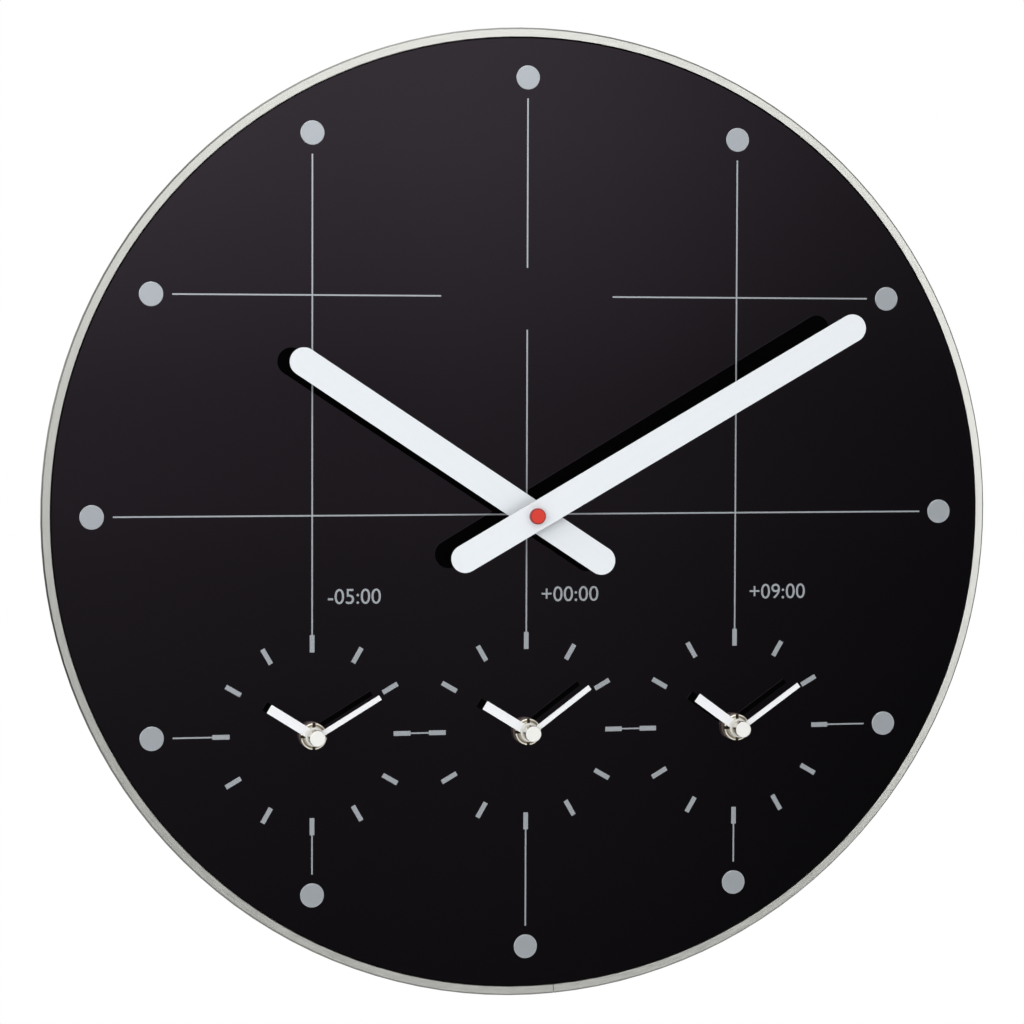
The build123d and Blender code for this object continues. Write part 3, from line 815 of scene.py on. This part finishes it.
def copied(piece: Object, name: str, move: Matrix) -> Object:
    """Copy a finished piece to another place.

    Args:
        piece: The piece that is copied, with its mesh.
        name: Name of the copy.
        move: How the copy's mesh is moved.

    Returns:
        The copy.
    """
    mesh = piece.data.copy()
    mesh.name = name
    mesh.transform(move)
    copy = bpy.data.objects.new(name, mesh)
    bpy.context.scene.collection.objects.link(copy)
    return copy


def fit(piece: Object, body: str = "clock") -> None:
    """Let a new piece ride on a body.

    Args:
        piece: The piece.
        body: The body that it moves with.
    """
    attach(piece, body)
    LOG.info("built %s, %d faces", piece.name, len(piece.data.polygons))


@dataclass
class Rim:
    """Rolled ring with the plate and rivets behind its butt joint."""

    joint_angle: float = 176.507
    splice_radius: float = 0.21014
    splice_middle: float = 0.011
    wall_slope: float = 0.1208
    rivet_radius: float = 0.0021
    rivet_height: float = 0.0009
    rivet_sunk: float = 0.0001
    rivet_sides: int = 40
    rivet_round: float = 0.00063
    rivet_round_steps: int = 4
    rivet_along: float = 0.0095
    rivet_across: float = 0.0052
    dimple_depth: float = 0.0003
    dimple_margin: float = 0.000525
    dimple_floor_margin: float = 0.000168
    smooth_up_to: float = 40.0

    def dress(self, frame: dict) -> None:
        """Dress the ring and the plate."""
        dress(frame, RIM_METAL, "rim_ring", "rim_splice")

    def rivet(self) -> Object:
        """Model one rivet head on the plate, at the side of 12 o'clock.

        Returns:
            The rivet, looking down to the middle of the dial.
        """
        bench = Bench("splice_rivet_1")
        foot = self.splice_radius + self.rivet_sunk
        middle = DIAL_MIDDLE + UP * (foot - self.rivet_height / 2)
        middle.y = self.splice_middle
        bpy.ops.mesh.primitive_cylinder_add(
            vertices=self.rivet_sides, radius=self.rivet_radius, depth=self.rivet_height, location=middle)
        bench.settle()
        bench.edit()
        low = middle.z - self.rivet_height / 2
        bench.pick(Element.EDGE, lambda edge: lies_at(edge, AXIS_Z, low))
        bench.round_off(self.rivet_round, self.rivet_round_steps)
        bench.pick(Element.FACE, lambda face: looks(face, -UP) and len(face.verts) == self.rivet_sides)
        bench.inset(self.dimple_margin)
        bench.extrude(UP * self.dimple_depth)
        bench.inset(self.dimple_floor_margin)
        bench.done()
        lean = Matrix.Rotation(-math.atan(self.wall_slope), 4, "X")
        bench.piece.data.transform(Matrix.Translation(middle) @ lean @ Matrix.Translation(-middle))
        bench.smooth(self.smooth_up_to)
        bench.piece.data.materials.append(STEEL.material())
        return bench.piece

    def rivets(self) -> None:
        """Put a rivet in each corner of the plate."""
        pattern = self.rivet()
        number = 0
        turn = self.rivet_along / self.splice_radius
        centre = Matrix.Translation(DIAL_MIDDLE)
        for side in (-1, 1):
            angle = math.radians(self.joint_angle) + side * turn
            rotate = centre @ Matrix.Rotation(angle, 4, "Y") @ centre.inverted()
            for depth in (-self.rivet_across, self.rivet_across):
                number += 1
                move = rotate @ Matrix.Translation((0.0, depth, -depth * self.wall_slope))
                fit(copied(pattern, f"rim_rivet_{number}", move))
        bpy.data.objects.remove(pattern)


@dataclass
class Dial:
    """Glass plate with its tape, dots, lines, ticks and the hour offset under each line."""

    offsets: dict[Seat, str] = field(
        default_factory=lambda: {Seat.LEFT: "-05:00", Seat.MIDDLE: "+00:00", Seat.RIGHT: "+09:00"})
    offset_height: float = 0.0067
    offset_middle: float = -0.0356
    offset_start: float = 0.0070
    curve_steps: int = 6
    print_thickness: float = 0.0001

    def dress(self, frame: dict) -> None:
        """Dress the glass, its tape and its print.
        """
        dress(frame, GLASS, "dial_glass")
        dress(frame, TAPE, "glass_tape")
        dress(frame, SILVER_INK, "hour_dots", "grid_lines", "city_ticks")

    def offset(self, seat: Seat) -> Object:
        """Print one plain hour offset above its city dial.

        Args:
            seat: The city dial.

        Returns:
            The print, as a thin mesh on the glass.
        """
        bench = Bench(f"{seat.label}_hour_offset")
        bpy.ops.object.text_add()
        text = bench.piece.data
        text.body = self.offsets[seat]
        text.align_x = "LEFT"
        text.resolution_u = self.curve_steps
        # one unit thick in all, so that its scale is the thickness of the print
        text.extrude = 0.5
        bpy.ops.object.convert(target="MESH")
        bench.edit()
        bpy.ops.mesh.beautify_fill()
        bench.done()
        piece = bench.piece
        start = min(vert.co.x for vert in piece.data.vertices)
        foot = min(vert.co.y for vert in piece.data.vertices)
        top = max(vert.co.y for vert in piece.data.vertices)
        scale = self.offset_height / (top - foot)
        piece.scale = (scale, scale, self.print_thickness)
        piece.rotation_euler = (QUARTER_TURN, 0.0, 0.0)
        piece.location = (
            seat.axis.x + self.offset_start - start * scale,
            DIAL_MIDDLE.y - self.print_thickness / 2,
            DIAL_MIDDLE.z + self.offset_middle - self.offset_height / 2 - foot * scale)
        bench.settle()
        piece.data.materials.append(SILVER_INK.material())
        return piece

    def print_offsets(self) -> None:
        """Print the offset of each city dial."""
        for seat in self.offsets:
            fit(self.offset(seat))


@dataclass
class Clamping:
    """Hanger plate, washers and nuts that hold the movements in the glass."""

    def dress(self, frame: dict) -> None:
        """Dress the pieces on the bushes.
        """
        dress(frame, STEEL, "main_hanger")
        dress(frame, RUBBER, "rubber_washers")
        dress(frame, FIBRE, "fibre_washers")
        dress(frame, NICKEL, "clamp_nuts")


@dataclass
class Cells:
    """One cylindrical cell in each movement, with a rolled shoulder and a drawn nub."""

    radius: float = 0.00725
    start: float = -0.02445
    length: float = 0.0493
    sides: int = 72
    nub_radius: float = 0.0026
    nub_length: float = 0.0012
    nub_round: float = 0.0005
    lip: float = 0.0007
    recess: float = 0.0004
    wall_round: float = 0.0003
    round_steps: int = 3
    height: float = -0.018907
    main_depth: float = 0.015
    city_depth: float = 0.014
    smooth_up_to: float = 35.0

    @property
    def middle(self) -> Vector:
        """Middle of the cell of the main movement, without its nub."""
        return DIAL_MIDDLE + Vector((self.start + self.length / 2, self.main_depth, self.height))

    def cell(self) -> Object:
        """Model the cell of the main movement.

        Returns:
            The cell, its nub to the right.
        """
        bench = Bench("main_cell")
        bpy.ops.mesh.primitive_cylinder_add(
            vertices=self.sides, radius=self.radius, depth=self.length, location=self.middle,
            rotation=(0.0, QUARTER_TURN, 0.0))
        bench.settle()
        bench.edit()
        for way in (RIGHT, -RIGHT):
            bench.pick(Element.FACE, lambda face: looks(face, way))
            bench.inset(self.lip)
            bench.extrude(way * -self.recess)
        end = self.middle.x + self.length / 2
        floor = end - self.recess + NEAR
        bench.pick(Element.FACE, lambda face: looks(face, RIGHT) and face.calc_center_median().x < floor)
        bench.inset(self.radius - self.lip - self.nub_radius)
        bench.extrude(RIGHT * (self.recess + self.nub_length))
        bench.pick(Element.EDGE, lambda edge: lies_at(edge, AXIS_X, end + self.nub_length))
        bench.round_off(self.nub_round, self.round_steps)
        bench.pick(Element.EDGE, self.on_wall)
        bench.round_off(self.wall_round, self.round_steps)
        piece = bench.piece
        piece.data.materials.append(JACKET.material())
        piece.data.materials.append(CELL_END.material())
        bench.pick(Element.FACE, self.bare)
        piece.active_material_index = 1
        bpy.ops.object.material_slot_assign()
        bench.done()
        bench.smooth(self.smooth_up_to)
        return piece

    def off_axis(self, spot: Vector) -> float:
        """Give how far a point of the main cell lies from its axis."""
        return math.hypot(spot.y - self.middle.y, spot.z - self.middle.z)

    def on_wall(self, edge: Edge) -> bool:
        """Say whether an edge runs along the cell's wall or round an end of the wall.

        Args:
            edge: The edge.

        Returns:
            Whether it does.
        """
        spots = [vert.co for vert in edge.verts]
        at_ends = all(abs(abs(spot.x - self.middle.x) - self.length / 2) < TOUCH for spot in spots)
        return at_ends and all(self.off_axis(spot) > self.radius - NEAR for spot in spots)

    def bare(self, face: Face) -> bool:
        """Say whether a face is the bare metal inside the jacket's lip.

        Args:
            face: The face.

        Returns:
            Whether it is.
        """
        spot = face.calc_center_median()
        at_end = abs(spot.x - self.middle.x) > self.length / 2 - self.recess - NEAR
        return at_end and self.off_axis(spot) < self.radius - self.lip - NEAR

    def build(self) -> None:
        """Put a cell in every movement in place of the plain ones."""
        first = self.cell()
        cells = [first]
        for seat in CITY_SEATS:
            move = seat.shift(self.city_depth - self.main_depth)
            cells.append(copied(first, f"{seat.label}_cell", move))
        for piece in cells:
            fit(piece)
            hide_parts("batteries")


@dataclass
class Movements:
    """Four quartz movements: cases, covers, wheels, knobs, contacts and the signs moulded on the covers."""

    cover_rear: float = 0.0215
    city_step: float = -0.001
    sign_height: float = 0.00030
    sign_width: float = 0.0010
    sign_reach: float = 0.0013
    sign_round: float = 0.00012
    sign_round_steps: int = 2
    sign_corner: float = 0.5
    plus_place: tuple[float, float] = (0.0222, -0.0076)
    minus_place: tuple[float, float] = (-0.0222, -0.0076)
    knob_place: tuple[float, float] = (0.0108, 0.0108)
    arrow_radius: float = 0.0096
    arrow_width: float = 0.0009
    arrow_from: float = 10.0
    arrow_sweep: float = 70.0
    arrow_steps: int = 16
    head_length: float = 0.0021
    head_step: float = 0.00009
    head_spread: float = 2.8
    head_point: float = 0.05

    def dress(self, frame: dict) -> None:
        """Dress the nodes of every movement.
        """
        dress(frame, STEEL, "battery_contacts")
        dress(frame, JACKET, "batteries")
        dress(frame, CASE_MOULD, "drive_modules")
        for seat in Seat:
            dress(frame, CASE_MOULD, f"{seat.label}_case")
            dress(frame, COVER_MOULD, f"{seat.label}_cover")
            dress(frame, WHEEL, f"{seat.label}_hour_wheel", f"{seat.label}_reduction_wheel")
            dress(frame, BRASS, f"{seat.label}_minute_arbor")
            dress(frame, KNOB, f"{seat.label}_setting_knob")

    def on_cover(self, place: tuple[float, float]) -> Vector:
        """Give a point of the main cover's rear, from its x and z beside the shaft."""
        return DIAL_MIDDLE + Vector((place[0], self.cover_rear, place[1]))

    def sign(self, name: str, place: tuple[float, float], ways: tuple[Vector, ...]) -> Object:
        """Model a plus or a minus that stands on the main cover.

        Args:
            name: Name of the piece.
            place: Place of the sign, x and z from the shaft.
            ways: Where its arms point.

        Returns:
            The sign.
        """
        bench = Bench(name)
        middle = self.on_cover(place)
        bpy.ops.mesh.primitive_cube_add(size=self.sign_width, location=middle)
        bench.piece.scale = (1.0, 2 * self.sign_height / self.sign_width, 1.0)
        bench.settle()
        bench.edit()
        for way in ways:
            bench.pick(Element.FACE, lambda face: looks(face, way) and self.ahead(face, middle, way))
            bench.extrude(way * self.sign_reach)
        bench.pick(Element.EDGE, lambda edge: self.bounds_top(edge, middle.y + self.sign_height))
        bench.round_off(self.sign_round, self.sign_round_steps)
        bench.done()
        return bench.piece

    def ahead(self, face: Face, middle: Vector, way: Vector) -> bool:
        """Say whether a face lies straight ahead of the middle of a sign."""
        offset = face.calc_center_median() - middle
        return (offset - way * offset.dot(way)).length < self.sign_width / 4

    def bounds_top(self, edge: Edge, top: float) -> bool:
        """Say whether an edge bounds the top of a raised sign."""
        return lies_at(edge, AXIS_Y, top) and edge.calc_face_angle(0.0) > self.sign_corner

    def spoke(self, angle: float) -> Vector:
        """Give the direction from the knob's axis at a clock angle."""
        return Vector((math.sin(angle), 0.0, math.cos(angle)))

    def arrow(self) -> Object:
        """Model the double arrow round the knob of the main cover.

        Returns:
            The arrow.
        """
        bench = Bench("main_turn_arrow")
        hub = self.on_cover(self.knob_place)
        begin = math.radians(self.arrow_from)
        sweep = math.radians(self.arrow_sweep)
        bpy.ops.mesh.primitive_plane_add(
            size=self.arrow_width, location=hub + self.spoke(begin) * self.arrow_radius,
            rotation=(QUARTER_TURN, begin, 0.0))
        bench.settle()
        bench.edit()
        bench.extrude(BACK * self.sign_height)
        bench.outward()
        bench.pick(Element.FACE, lambda face: looks(face, self.spoke(begin + QUARTER_TURN)))
        # the operator counts its angle the other way round
        bpy.ops.mesh.spin(steps=self.arrow_steps, dupli=False, angle=-sweep, center=hub, axis=BACK)
        bench.outward()
        self.head(bench, self.spoke(begin + sweep + QUARTER_TURN))
        self.head(bench, self.spoke(begin - QUARTER_TURN))
        bench.done()
        return bench.piece

    def head(self, bench: Bench, way: Vector) -> None:
        """Draw out one end of the arrow to a head.

        Args:
            bench: The bench with the arrow on it, in edit mode.
            way: Where that end looks.
        """
        bench.pick(Element.FACE, lambda face: looks(face, way))
        mesh = bmesh.from_edit_mesh(bench.piece.data)
        middle = next(face for face in mesh.faces if face.select).calc_center_median()
        bench.extrude(way * self.head_step)
        bench.spread(self.head_spread, middle)
        bench.extrude(way * self.head_length)
        bench.spread(self.head_point, middle + way * self.head_length)

    def build(self) -> None:
        """Put the signs on every cover."""
        patterns = {
            "plus_sign": self.sign("main_plus_sign", self.plus_place, (RIGHT, -RIGHT, UP, -UP)),
            "minus_sign": self.sign("main_minus_sign", self.minus_place, (RIGHT, -RIGHT)),
            "turn_arrow": self.arrow(),
        }
        for label, pattern in patterns.items():
            pattern.data.materials.append(RUBBED_MOULD.material())
            fit(pattern)
            for seat in CITY_SEATS:
                fit(copied(pattern, f"{seat.label}_{label}", seat.shift(self.city_step)))


@dataclass
class Hands:
    """Hands of the four dials and the cap on the main pair."""

    def dress(self, frame: dict) -> None:
        """Dress the hands.
        """
        dress(frame, MAIN_PAINT, "main_hour_hand", "main_minute_hand")
        dress(frame, RED_CAP, "main_hand_cap")
        for seat in CITY_SEATS:
            dress(frame, CITY_PAINT, f"{seat.label}_hour_hand", f"{seat.label}_minute_hand")


def turn_to(place: Place, aim: Place) -> Matrix:
    """Give the rotation of a lamp or camera at a place that looks at an aim."""
    return (Vector(aim) - Vector(place)).to_track_quat("-Z", "Y").to_matrix().to_4x4()


@dataclass(frozen=True)
class SoftBox:
    """A large rectangular lamp."""

    name: str
    place: Place
    width: float
    height: float
    watts: float

    def build(self, aim: Place) -> None:
        """Hang the lamp and turn it to the clock.

        Args:
            aim: The point that it looks at.
        """
        lamp = bpy.data.lights.new(self.name, "AREA")
        lamp.shape = "RECTANGLE"
        lamp.size = self.width
        lamp.size_y = self.height
        lamp.energy = self.watts
        holder = bpy.data.objects.new(self.name, lamp)
        holder.matrix_world = Matrix.Translation(self.place) @ turn_to(self.place, aim)
        bpy.context.scene.collection.objects.link(holder)
        LOG.info("hung %s, %.1f W", self.name, self.watts)


@dataclass
class Studio:
    """White surroundings, a dim room in front of the dial, soft lamps, a floor and the camera."""

    eye: Place = (-0.365742, -1.545071, 0.033126)
    aim: Place = (-0.0066, -0.0052, -0.037)
    roll: float = 0.178
    lens: float = 125.44
    sensor: float = 36.0
    nearest: float = 0.01
    floor_height: float = -1.6
    floor_half: float = 2.6
    floor_cuts: int = 7
    floor_tone: Colour = (0.86, 0.86, 0.85)
    floor_spread: float = 0.02
    floor_grain: float = 60.0
    floor_layers: float = 3.0
    floor_roughness: float = 0.9
    floor_fade: Span = (0.65, 2.47)
    lamps: tuple[SoftBox, ...] = (
        SoftBox("upper_lamp", (0.20, -1.70, 0.96), 1.2, 0.6, 6.4),
        SoftBox("right_lamp", (1.09, -1.52, 0.03), 0.25, 1.2, 3.2),
        SoftBox("left_lamp", (-0.95, -0.80, 0.05), 0.6, 0.9, 4.3),
        SoftBox("lower_lamp", (0.0, -1.60, -1.00), 1.6, 0.5, 2.9),
    )
    # brightness of the room in front, by how far a direction points up and to the right
    rise: Levels = (
        (-0.30, 0.04), (-0.16, 0.10), (-0.10, 0.165), (-0.05, 0.26), (0.0, 0.42), (0.06, 0.78),
        (0.16, 0.90), (0.55, 0.60), (0.76, 0.62), (0.92, 1.9))
    side: Levels = (
        (-1.0, 1.7), (-0.45, 1.0), (0.0, 1.2), (0.10, 1.25), (0.17, 1.04), (0.22, 1.0), (0.27, 0.74),
        (0.32, 0.42), (0.40, 0.34), (0.56, 1.2), (0.72, 1.0), (0.95, 0.6))
    # how far a direction points to the wall where the dim room gives way to white
    white_span: Span = (0.10, 0.50)

    def camera(self) -> None:
        """Stand the camera at the viewing angle of the picture."""
        lens = bpy.data.cameras.new("camera")
        lens.lens = self.lens
        lens.sensor_width = self.sensor
        lens.clip_start = self.nearest
        holder = bpy.data.objects.new("camera", lens)
        look = turn_to(self.eye, self.aim) @ Matrix.Rotation(math.radians(self.roll), 4, "Z")
        holder.matrix_world = Matrix.Translation(self.eye) @ look
        bpy.context.scene.collection.objects.link(holder)
        bpy.context.scene.camera = holder
        LOG.info("stood the camera, %.1f mm", self.lens)

    def world(self) -> None:
        """Make the surroundings white to look at, and dim low down in front, where the glass looks."""
        world = bpy.data.worlds.new("studio")
        world.use_nodes = True
        bpy.context.scene.world = world
        nodes = Nodes(world.node_tree)
        x, y, z = nodes.parts(nodes.coordinates.outputs["Generated"])
        front = nodes.calc("MULTIPLY", nodes.follow(z, self.rise), nodes.follow(x, self.side))
        room = nodes.mix(nodes.ramp(y, *self.white_span), front, WHITE)
        shown = nodes.mix(nodes.hit_by(Ray.CAMERA, Ray.TRANSMISSION), room, WHITE)
        nodes.put(nodes.add("OutputWorld"), {"Surface": nodes.feed(nodes.add("Background"), shown)})

    def paper(self) -> bpy.types.Material:
        """Build the floor's material, which turns white to the eye towards its edge.

        Returns:
            The material.
        """
        desk = Desk("floor_paper")
        here = desk.place(UP * self.floor_height)
        grain = desk.noise(here, self.floor_grain, self.floor_layers)
        pale = tuple(part * (1 + self.floor_spread) for part in self.floor_tone)
        tint = desk.mix(grain, self.floor_tone, pale)
        desk.put(desk.shader, {"Base Color": tint, "Roughness": self.floor_roughness})
        x, y, _ = desk.parts(here)
        fade = desk.ramp(desk.reach(x, y), *self.floor_fade)
        share = desk.calc("MULTIPLY", desk.hit_by(Ray.CAMERA, Ray.GLOSSY, Ray.TRANSMISSION), fade)
        white = desk.add("Emission").outputs[0]
        blend = desk.feed(desk.add("MixShader"), share, desk.shader.outputs[0], white)
        desk.put(desk.output, {"Surface": blend})
        return desk.sheet

    def floor(self) -> None:
        """Lay a pale floor that fades into the white surroundings."""
        bench = Bench("floor")
        bpy.ops.mesh.primitive_plane_add(size=2 * self.floor_half, location=UP * self.floor_height)
        bench.settle()
        bench.edit()
        bpy.ops.mesh.subdivide(number_cuts=self.floor_cuts)
        bench.done()
        bench.piece.data.materials.append(self.paper())
        LOG.info("laid the floor, %.1f m wide", 2 * self.floor_half)

    def build(self) -> None:
        """Set up the whole studio."""
        bpy.context.scene.view_settings.view_transform = "Standard"
        self.world()
        self.floor()
        for lamp in self.lamps:
            lamp.build(DIAL_MIDDLE)
        self.camera()


def main() -> None:
    """Build every sub-assembly in order, then the studio."""
    logging.basicConfig(level=logging.INFO, format="%(message)s")
    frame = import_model()
    rim = Rim()
    rim.dress(frame)
    rim.rivets()
    dial = Dial()
    dial.dress(frame)
    dial.print_offsets()
    Clamping().dress(frame)
    movements = Movements()
    movements.dress(frame)
    movements.build()
    Cells().build()
    Hands().dress(frame)
    Studio().build()


if __name__ == "__main__":
    main()
